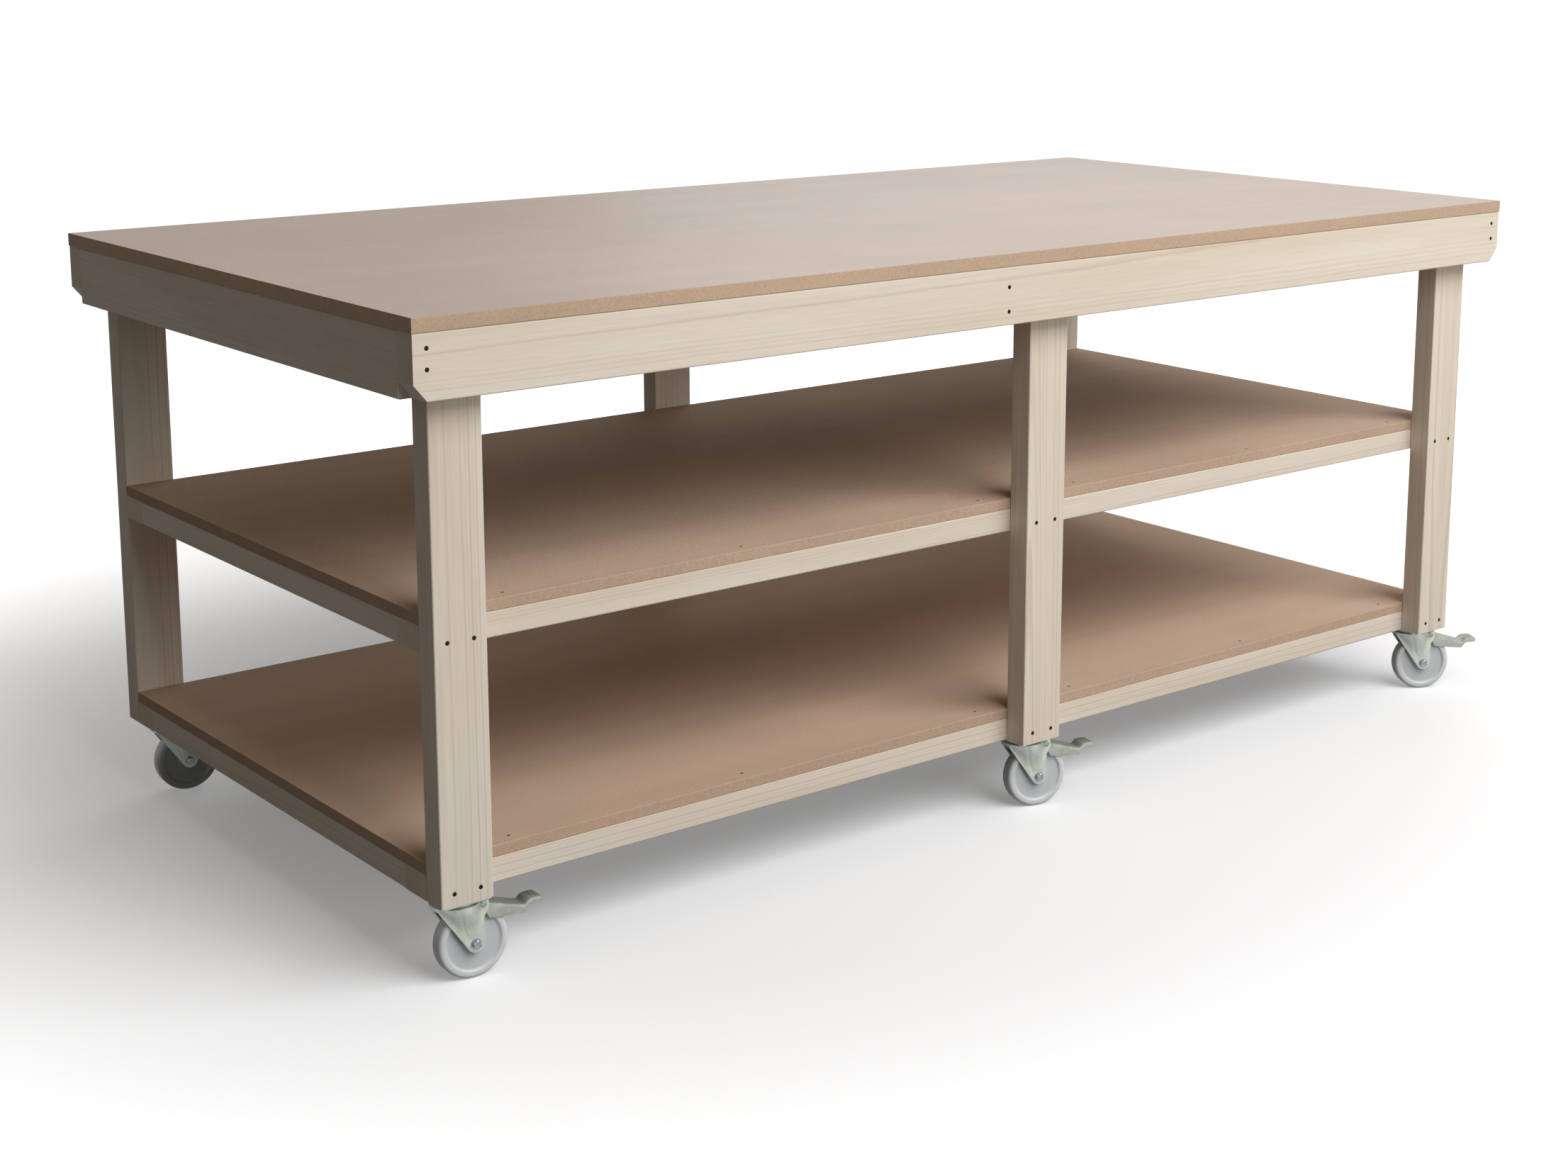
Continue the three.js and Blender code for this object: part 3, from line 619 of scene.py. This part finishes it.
def cross(arm, width):
    """Radius of a driver cross by angle: the end of an arm, or its side."""
    quarter = math.tau / 4

    def radius(angle):
        folded = abs((angle + quarter / 2) % quarter - quarter / 2)
        return min(arm / math.cos(folded), width / max(math.sin(folded), 1e-6))
    return radius


def screw_head(radius):
    """A countersunk head with its top at zero, facing +Z, and a driver cross sunk in it."""
    arm = radius * CROSS_ARM
    width = radius * CROSS_WIDTH
    hollow = [
        (cross(arm * arm_share, width * width_share), -CROSS_DEPTH * depth_share)
        for depth_share, arm_share, width_share in CROSS_STEPS]
    return turned([
        (radius * SCREW_NECK, -SCREW_HEAD_HEIGHT), (radius, -SCREW_RIM_BOTTOM), (radius, -SCREW_RIM_TOP),
        (radius * SCREW_FLAT, 0), *hollow,
    ], segments=32)


def facing_matrix(place, direction):
    """Stands +Z of a shape along a direction, at a place given in metres."""
    turn = Vector((0, 0, 1)).rotation_difference(Vector(direction)).to_matrix().to_4x4()
    return Matrix.Translation(Vector(place) / MM) @ turn


def screws(name, places, direction, radius, material):
    """One piece of screws that all face one way."""
    head = screw_head(radius)
    shapes = [moved(head, facing_matrix(place, direction)) for place in places]
    make(name, joined(shapes), material, "table")


def drive_rail_screws(row, side, material):
    """Screws through a long top rail into the ends of the end rails and the middle rail."""
    low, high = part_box(f"top_{row}_rail")
    face = (low.y if side < 0 else high.y) + side * HOLE_SCREW_STANDS * MM
    columns = (("left", END_SCREW_DROPS), ("right", END_SCREW_DROPS), ("middle", MIDDLE_SCREW_DROPS))
    places = []
    for post, drops in columns:
        end_low, end_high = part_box(f"top_{post}_rail")
        places += [((end_low.x + end_high.x) / 2, face, high.z - drop * MM) for drop in drops]
    screws(f"top_{row}_rail_screws", places, (0, side, 0), HOLE_SCREW_RADIUS, material)


def drive_leg_screws(row, post, side, material):
    """Two screws through a leg into each shelf's rail."""
    low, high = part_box(f"leg_{row}_{post}")
    face = (low.y if side < 0 else high.y) + side * HOLE_SCREW_STANDS * MM
    places = []
    for level in ("lower", "middle"):
        rail_low, rail_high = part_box(f"{level}_shelf_{row}_rail")
        for x in (low.x + LEG_SCREW_EDGE * MM, high.x - LEG_SCREW_EDGE * MM):
            places.append((x, face, (rail_low.z + rail_high.z) / 2))
    screws(f"leg_{row}_{post}_screws", places, (0, side, 0), HOLE_SCREW_RADIUS, material)


def drive_shelf_screws(level, material):
    """Small screws along both long edges of a shelf's board."""
    low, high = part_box(f"{level}_shelf_board")
    middle = (low.x + high.x) / 2
    top = high.z + SHELF_SCREW_STANDS * MM
    places = []
    for y in (low.y + SHELF_SCREW_INSET * MM, high.y - SHELF_SCREW_INSET * MM):
        places += [(middle + along * MM, y, top) for along in SHELF_SCREW_PLACES]
    screws(f"{level}_shelf_screws", places, (0, 0, 1), SHELF_SCREW_RADIUS, material)


def drive_screws():
    """Screws in the rails' and legs' holes, and the small ones that hold the shelf boards down."""
    black = black_screw()
    for row, side in (("front", -1), ("back", 1)):
        drive_rail_screws(row, side, black)
        for post in ("left", "middle", "right"):
            drive_leg_screws(row, post, side, black)
    for level in ("lower", "middle"):
        drive_shelf_screws(level, black)


def wheel_shape():
    """A crowned tread with round lips, dished sides and a hub bored for the axle, about Z."""
    dish = WHEEL_HALF - DISH_DEPTH
    side = [
        (WHEEL_BORE, HUB_HALF),
        *arc((HUB_FACE, HUB_HALF - HUB_ROUND), HUB_ROUND, 90, 10, 4),
        *arc((HUB_FOOT, dish + HUB_FILLET), HUB_FILLET, 195, 270, 5),
        *arc((RIM_FOOT, dish + RIM_FILLET), RIM_FILLET, 270, 305, 4),
        *arc((RIM_CREST, WHEEL_HALF - RIM_ROUND), RIM_ROUND, 130, 90, 4),
        *arc((WHEEL_RADIUS - LIP, WHEEL_HALF - LIP), LIP, 85, 8, 7),
        (WHEEL_RADIUS, WHEEL_HALF - LIP - LIP_DROP),
    ]
    return turned(mirrored(side[::-1]), segments=96, closed=True)


def axle_shape():
    """A bolt with a washer and a hexagon at each end, about Z: its domed head is up and its nut down."""
    seat = CHEEK_OUTER + AXLE_CLEAR
    chamfer_low, chamfer_high = AXLE_CHAMFER
    flats = hexagon(AXLE_ACROSS_FLATS)
    start = [*AXLE_WASHER, (hexagon(AXLE_CHAMFER_FLATS), chamfer_low), (flats, chamfer_high)]
    head = [*start, (flats, AXLE_HEAD_TOP), *AXLE_HEAD_DOME]
    nut = [*start, (flats, AXLE_NUT_TOP), *AXLE_THREAD_END]
    return turned([
        *[(radius, -seat - height) for radius, height in reversed(nut)],
        (AXLE_RADIUS, -seat), (AXLE_RADIUS, seat),
        *[(radius, seat + height) for radius, height in head],
    ], segments=48)


def kingpin_shape():
    """The pressed ball race under the plate, and the pin through the fork with its riveted head."""
    return turned([
        *[(radius, DECK_BOTTOM + height) for radius, height in RIVETED_HEAD],
        (KINGPIN_RADIUS, DECK_BOTTOM - KINGPIN_CLEAR), (KINGPIN_RADIUS, DECK_TOP + KINGPIN_CLEAR),
        *[(radius, DECK_TOP + height) for radius, height in BALL_RACE],
        *[(radius, PLATE_BOTTOM + height) for radius, height in RACE_TOP],
    ], segments=64)


def blend(a, b, t):
    """The point a share t of the way from a to b."""
    return [p + (q - p) * t for p, q in zip(a, b)]


def ease(t):
    """A smooth step from 0 to 1."""
    t = min(max(t, 0), 1)
    return t * t * (3 - 2 * t)


def rim_point(start, end, share):
    """A point on the deck's round rim, a share of the way between two angles."""
    angle = math.radians(start + (end - start) * share)
    return DECK_RADIUS * math.cos(angle), DECK_RADIUS * math.sin(angle)


def boss_arc():
    """The lower edge round the axle boss, from where the slanted edge meets it to its front."""
    run = TRAIL - HEEL[0]
    drop = WHEEL_RADIUS - HEEL[2]
    slope = math.atan2(drop, run) - math.asin(BOSS_RADIUS / math.hypot(run, drop))
    tangent = math.degrees(slope) - 90
    side = arc((TRAIL, WHEEL_RADIUS), BOSS_RADIUS, tangent, 0, BOSS_STEPS)
    return [(x, CHEEK_OUTER, z) for x, z in side]


def fork_back():
    """Stations under the back arch, down the slanted edge and round the boss, where the rib is."""
    boss = boss_arc()
    stations = []
    for i in range(ARCH_STEPS):
        rim = rim_point(BACK_ANGLE, ARCH_ANGLE, i / ARCH_STEPS)
        stations.append((rim, (*rim, HEEL[2]), 0))
    for i in range(SLANT_STEPS):
        share = i / SLANT_STEPS
        stations.append((rim_point(ARCH_ANGLE, SLANT_ANGLE, share), blend(HEEL, boss[0], share), 0))
    for i, point in enumerate(boss):
        rib = ease(RIB_HALF_STEPS + 1 - abs(i - BOSS_STEPS / 2))
        stations.append((rim_point(SLANT_ANGLE, FRONT_ANGLE, i / BOSS_STEPS), point, rib))
    return stations


def fork_front():
    """Stations up the front edge, out along the lug that carries the pedal and across to the tongue."""
    start = rim_point(SLANT_ANGLE, FRONT_ANGLE, 1)
    side_from = (SIDE_FROM, CHEEK_OUTER)
    side_to = (SIDE_TO, CHEEK_OUTER)
    bend = (LUG_FRONT, CHEEK_OUTER - LUG_BEND)
    foot = boss_arc()[-1]
    front = (TRAIL + BOSS_RADIUS, CHEEK_OUTER, DECK_TOP - FRONT_EDGE_DROP)
    lug = (LUG_FRONT, CHEEK_OUTER, DECK_TOP - LUG_DROP)
    corner = (LUG_FRONT, CHEEK_OUTER - LUG_CORNER[0], DECK_BOTTOM - LUG_CORNER[1])
    tongue = (LUG_FRONT + TONGUE[0], 0, DECK_BOTTOM - TONGUE[1])
    runs = (
        (start, side_from, foot, front, FRONT_EDGE_STEPS),
        (side_from, side_to, front, lug, LUG_STEPS),
        (side_to, bend, lug, corner, LUG_STEPS),
        (bend, (LUG_FRONT, 0), corner, tongue, TONGUE_STEPS),
    )
    stations = []
    for rim_a, rim_b, edge_a, edge_b, steps in runs:
        for i in range(1, steps + 1):
            stations.append((blend(rim_a, rim_b, i / steps), blend(edge_a, edge_b, i / steps), 0))
    return stations


def fork_loop():
    """Stations all round the fork: a rim point, a lower-edge point and how much the rib swells there."""
    half = fork_back() + fork_front()
    other = [((x, -y), (ex, -ey, ez), rib) for (x, y), (ex, ey, ez), rib in reversed(half[1:-1])]
    return half + other


def deck_rows(loop):
    """Rings of the flat deck, from the pin's hole out towards the rim."""
    rows = []
    for share in DECK_SHARES:
        row = []
        for (x, y), _, _ in loop:
            reach = math.hypot(x, y)
            radius = KINGPIN_HOLE + (reach - KINGPIN_HOLE) * share
            row.append((x / reach * radius, y / reach * radius, DECK_TOP))
        rows.append(row)
    return rows


def cheek_rows(loop):
    """Rings from the shoulder down to the lower edge, with the rib pressed out of each cheek."""
    top = DECK_TOP - SHOULDER_DROP
    rows = []
    for step in range(CHEEK_STEPS + 1):
        down = step / CHEEK_STEPS
        upright = ease(down / UPRIGHT_BY)
        swell = RIB_HEIGHT * ease((down - RIB_FROM) / RIB_RISE) * ease((RIB_TO - down) / RIB_FALL)
        row = []
        for (x, y), (edge_x, edge_y, edge_z), rib in loop:
            side = y + (edge_y - y) * upright + math.copysign(swell * rib, y)
            row.append((x + (edge_x - x) * down, side, top + (edge_z - top) * down))
        rows.append(row)
    return rows


def fork_shape():
    """The pressed fork as one sheet, to be given its thickness: deck, rounded shoulder and two cheeks."""
    loop = fork_loop()
    rows = deck_rows(loop) + cheek_rows(loop)
    return [point for row in rows for point in row], ring_faces(len(rows), len(loop))


def thicken_fork(fork):
    """Gives the fork's sheet its thickness and rounds its edges."""
    sheet = fork.modifiers.new("sheet", "SOLIDIFY")
    sheet.thickness = SHEET * MM
    sheet.offset = -1
    sheet.use_even_offset = True
    edges = fork.modifiers.new("pressed_edges", "BEVEL")
    edges.width = PRESSED_EDGE * MM
    edges.segments = 2
    edges.angle_limit = PRESSED_FROM
    smooth = fork.modifiers.new("drawn_smooth", "SUBSURF")
    smooth.levels = 1
    smooth.render_levels = 1


def prism(outline, half):
    """A plate with a side outline in X and Z, reaching half its width to each side of the middle."""
    points = [(x, y, z) for y in (-half, half) for x, z in outline]
    return points, capped_faces(2, len(outline))


def lever_section(top, half, depth):
    """One closed section of the folded lever, as (Y, Z) points: over the outside and back inside."""
    inner_half = half - LEVER_SHEET
    inner_top = top - LEVER_SHEET
    outside = [(half, top - depth), *[(half - inwards, top - down) for inwards, down in FOLD_OUTSIDE]]
    inside = [
        (inner_half, top - depth), *[(inner_half - inwards, top - down) for inwards, down in FOLD_INSIDE]]
    outside.append((half / 2, top))
    inside.append((half / 2, inner_top))
    over = [(-y, z) for y, z in outside] + [(0, top)] + outside[::-1]
    under = inside + [(0, inner_top)] + [(-y, z) for y, z in inside[::-1]]
    return over + under


def lever_shape():
    """The folded lever: a channel that bends down in front of the fork and kicks up to the toe."""
    rows = [
        [(x, y, z) for y, z in lever_section(top, half, depth)]
        for x, top, half, depth in LEVER_STATIONS]
    count = len(rows[0])
    last = (len(rows) - 1) * count
    # The section runs the other way round from a turned ring, so its faces are turned over
    sides = [[a, d, c, b] for a, b, c, d in ring_faces(len(rows), count)]
    ends = [list(range(count)), list(reversed(range(last, last + count)))]
    return [point for row in rows for point in row], [*sides, *ends]


def pedal_shape():
    """The brake pedal: lever, toe end with three grip bars, brake shoe and the pin through the lugs."""
    across = Matrix.Rotation(math.pi / 2, 4, "X")
    pin_x, pin_z = PIVOT
    seat = CHEEK_OUTER + PIVOT_CLEAR
    pin = turned(mirrored([(radius, seat + height) for radius, height in PIVOT_PIN]), segments=32)
    bar = turned(mirrored(GRIP_BAR), segments=16)
    grips = [moved(bar, Matrix.Translation((x, 0, z)) @ across) for x, z in TOE_GRIPS]
    return joined([
        lever_shape(), prism(TOE_END, TOE_HALF), prism(BRAKE_SHOE, SHOE_HALF),
        moved(pin, Matrix.Translation((pin_x, 0, pin_z)) @ across), *grips])


def plate_bolts_shape():
    """Four hexagon heads with washers, hanging under the corners of a caster's plate."""
    chamfer_flats, chamfer_height = PLATE_BOLT_CHAMFER
    head = turned([
        PLATE_BOLT_END, (hexagon(chamfer_flats), chamfer_height),
        *[(hexagon(flats), height) for flats, height in PLATE_BOLT_FLATS], *PLATE_BOLT_WASHER,
    ], segments=36)
    reaches = (-PLATE_BOLT_REACH, PLATE_BOLT_REACH)
    return joined([
        moved(head, Matrix.Translation((x, y, PLATE_BOTTOM))) for x in reaches for y in reaches])


def casters():
    """Each caster's name, the matrix of what stays with the table and the matrix of what swivels."""
    for row in ("front", "back"):
        for post in ("left", "middle", "right"):
            name = f"{row}_{post}"
            low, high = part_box(f"caster_{name}_plate")
            axle_low, axle_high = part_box(f"caster_{name}_axle")
            swivel = (low + high) / 2
            swivel.z = 0
            trail = (axle_low + axle_high) / 2 - swivel
            fixed = Matrix.Translation(swivel)
            yield name, fixed, fixed @ Matrix.Rotation(math.atan2(trail.y, trail.x), 4, "Z")


def build_casters():
    """The six casters: pieces that stand for CAD nodes and ride on their bodies, and the plates' bolts."""
    zinc = zinc_plate("zinc_plated_steel", dull="#bac2b9", bright="#c8cec5")
    # The pedal gets a darker zinc than the fork and the plate
    darker_zinc = zinc_plate("darker_pedal_zinc", dull="#969c92", bright="#a6aaa1")
    bolt = bolt_steel()
    nylon = moulded_nylon()
    hub = Matrix.Translation(Vector((TRAIL, 0, WHEEL_RADIUS)) * MM)
    across = Matrix.Rotation(math.pi / 2, 4, "X")
    for name, fixed, swivel in casters():
        cad = f"caster_{name}_"
        axle = swivel @ hub @ across
        dress(NODES[cad + "plate"], zinc)
        fork = make(
            f"fork_{name}", fork_shape(), zinc, f"fork_{name}", swivel, [cad + "fork"])
        thicken_fork(fork)
        make(
            f"pedal_{name}", pedal_shape(), darker_zinc, f"brake_{name}", swivel,
            [cad + "brake_pedal"])
        make(f"wheel_{name}", wheel_shape(), nylon, f"wheel_{name}", axle, [cad + "wheel"])
        make(f"axle_{name}", axle_shape(), bolt, f"fork_{name}", axle, [cad + "axle"])
        make(f"ball_race_{name}", kingpin_shape(), zinc, "table", fixed, [cad + "kingpin"])
        make(f"plate_bolts_{name}", plate_bolts_shape(), bolt, "table", fixed)


def backdrop_rays(tree):
    """1 for rays that should see the white background: camera, glossy and transmission rays."""
    path = add(tree, "LightPath")
    seen = add(tree, "Math", {
        0: path.outputs["Is Camera Ray"], 1: path.outputs["Is Glossy Ray"]}, operation="MAXIMUM")
    return add(tree, "Math", {
        0: seen.outputs[0], 1: path.outputs["Is Transmission Ray"]}, operation="MAXIMUM").outputs[0]


def light_surround():
    """A surround that looks white, and lights the table only dimly and a little warm."""
    world = bpy.data.worlds.new("white_surround")
    bpy.context.scene.world = world
    world.use_nodes = True
    tree = world.node_tree
    seen = backdrop_rays(tree)
    level = add(tree, "MapRange", {VALUE: seen, TO_LOW: SURROUND_LEVEL, TO_HIGH: 1.0})
    tint = add(tree, "Mix", {
        FACTOR: seen, COLOUR_A: linear("#fff0e0"), COLOUR_B: linear("#ffffff")}, data_type="RGBA")
    background = tree.nodes["Background"]
    tree.links.new(tint.outputs[MIXED], background.inputs["Color"])
    tree.links.new(level.outputs[0], background.inputs["Strength"])


def paper_floor():
    """White paper: it takes the soft shadow near the table and clears to plain white further off.

    It throws back less light than it shows, so the undersides of the shelves stay dark."""
    material = bpy.data.materials.new("white_paper")
    material.use_nodes = True
    tree = material.node_tree
    tree.nodes.remove(tree.nodes["Principled BSDF"])
    place = add(tree, "TexCoord")
    reach = add(tree, "VectorMath", {0: place.outputs["Object"]}, operation="LENGTH")
    glow = add(tree, "MapRange", {
        VALUE: reach.outputs["Value"], FROM_LOW: FLOOR_CLEAR_FROM, FROM_HIGH: FLOOR_CLEAR_TO,
        TO_LOW: FLOOR_GLOW, TO_HIGH: 1.0}, interpolation_type="SMOOTHSTEP")
    lit = add(tree, "BsdfDiffuse", {"Color": linear("#edeef0")})
    white = add(tree, "Emission", {"Color": linear("#ffffff"), "Strength": glow.outputs[0]})
    shown = add(tree, "AddShader", {0: lit.outputs[0], 1: white.outputs[0]})
    dull = add(tree, "BsdfDiffuse", {"Color": linear("#6a6a6a")})
    mixed = add(tree, "MixShader", {0: backdrop_rays(tree), 1: dull.outputs[0], 2: shown.outputs[0]})
    tree.links.new(mixed.outputs[0], tree.nodes["Material Output"].inputs["Surface"])
    return material


def lay_floor():
    """The floor that the table stands on, which isn't part of it."""
    half = FLOOR_SIZE / 2
    corners = [(-half, -half, 0), (half, -half, 0), (half, half, 0), (-half, half, 0)]
    mesh = bpy.data.meshes.new("floor")
    mesh.from_pydata(corners, [], [(0, 1, 2, 3)])
    mesh.materials.append(paper_floor())
    floor = bpy.data.objects.new("floor", mesh)
    bpy.context.scene.collection.objects.link(floor)


def hang_lamp(name, bearing, height, distance, width, depth, watts):
    """A soft rectangular lamp that faces the table."""
    lamp = bpy.data.lights.new(name, "AREA")
    lamp.energy = watts
    lamp.shape = "RECTANGLE"
    lamp.size = width
    lamp.size_y = depth
    holder = bpy.data.objects.new(name, lamp)
    bpy.context.scene.collection.objects.link(holder)
    level = math.cos(height)
    way = Vector((math.sin(bearing) * level, -math.cos(bearing) * level, math.sin(height)))
    holder.location = LAMP_AIM + way * distance
    holder.rotation_euler = way.to_track_quat("Z", "Y").to_euler()


def set_camera():
    """The camera that took the photograph, with its optical centre off the middle of the frame."""
    camera = bpy.data.cameras.new("photo_camera")
    camera.sensor_width = SENSOR_WIDTH
    camera.lens = FOCAL_PIXELS * SENSOR_WIDTH / PHOTO_WIDTH
    camera.shift_x = (PHOTO_WIDTH / 2 - OPTICAL_CENTRE[0]) / PHOTO_WIDTH
    camera.shift_y = (OPTICAL_CENTRE[1] - PHOTO_HEIGHT / 2) / PHOTO_WIDTH
    camera.clip_end = CAMERA_SEES_TO
    holder = bpy.data.objects.new("photo_camera", camera)
    bpy.context.scene.collection.objects.link(holder)
    level = Matrix.Rotation(-CAMERA_YAW, 4, "Z") @ Matrix.Rotation(math.pi / 2 - CAMERA_PITCH, 4, "X")
    holder.matrix_world = Matrix.Translation(CAMERA_PLACE) @ level @ Matrix.Rotation(CAMERA_ROLL, 4, "Z")
    bpy.context.scene.camera = holder


bpy.context.scene.view_settings.view_transform = "Standard"
set_camera()
light_surround()
hang_lamp("key", *KEY_LAMP)
hang_lamp("fill", *FILL_LAMP)
hang_lamp("back", *BACK_LAMP)
lay_floor()
dress_boards_and_timber()
drive_screws()
build_casters()
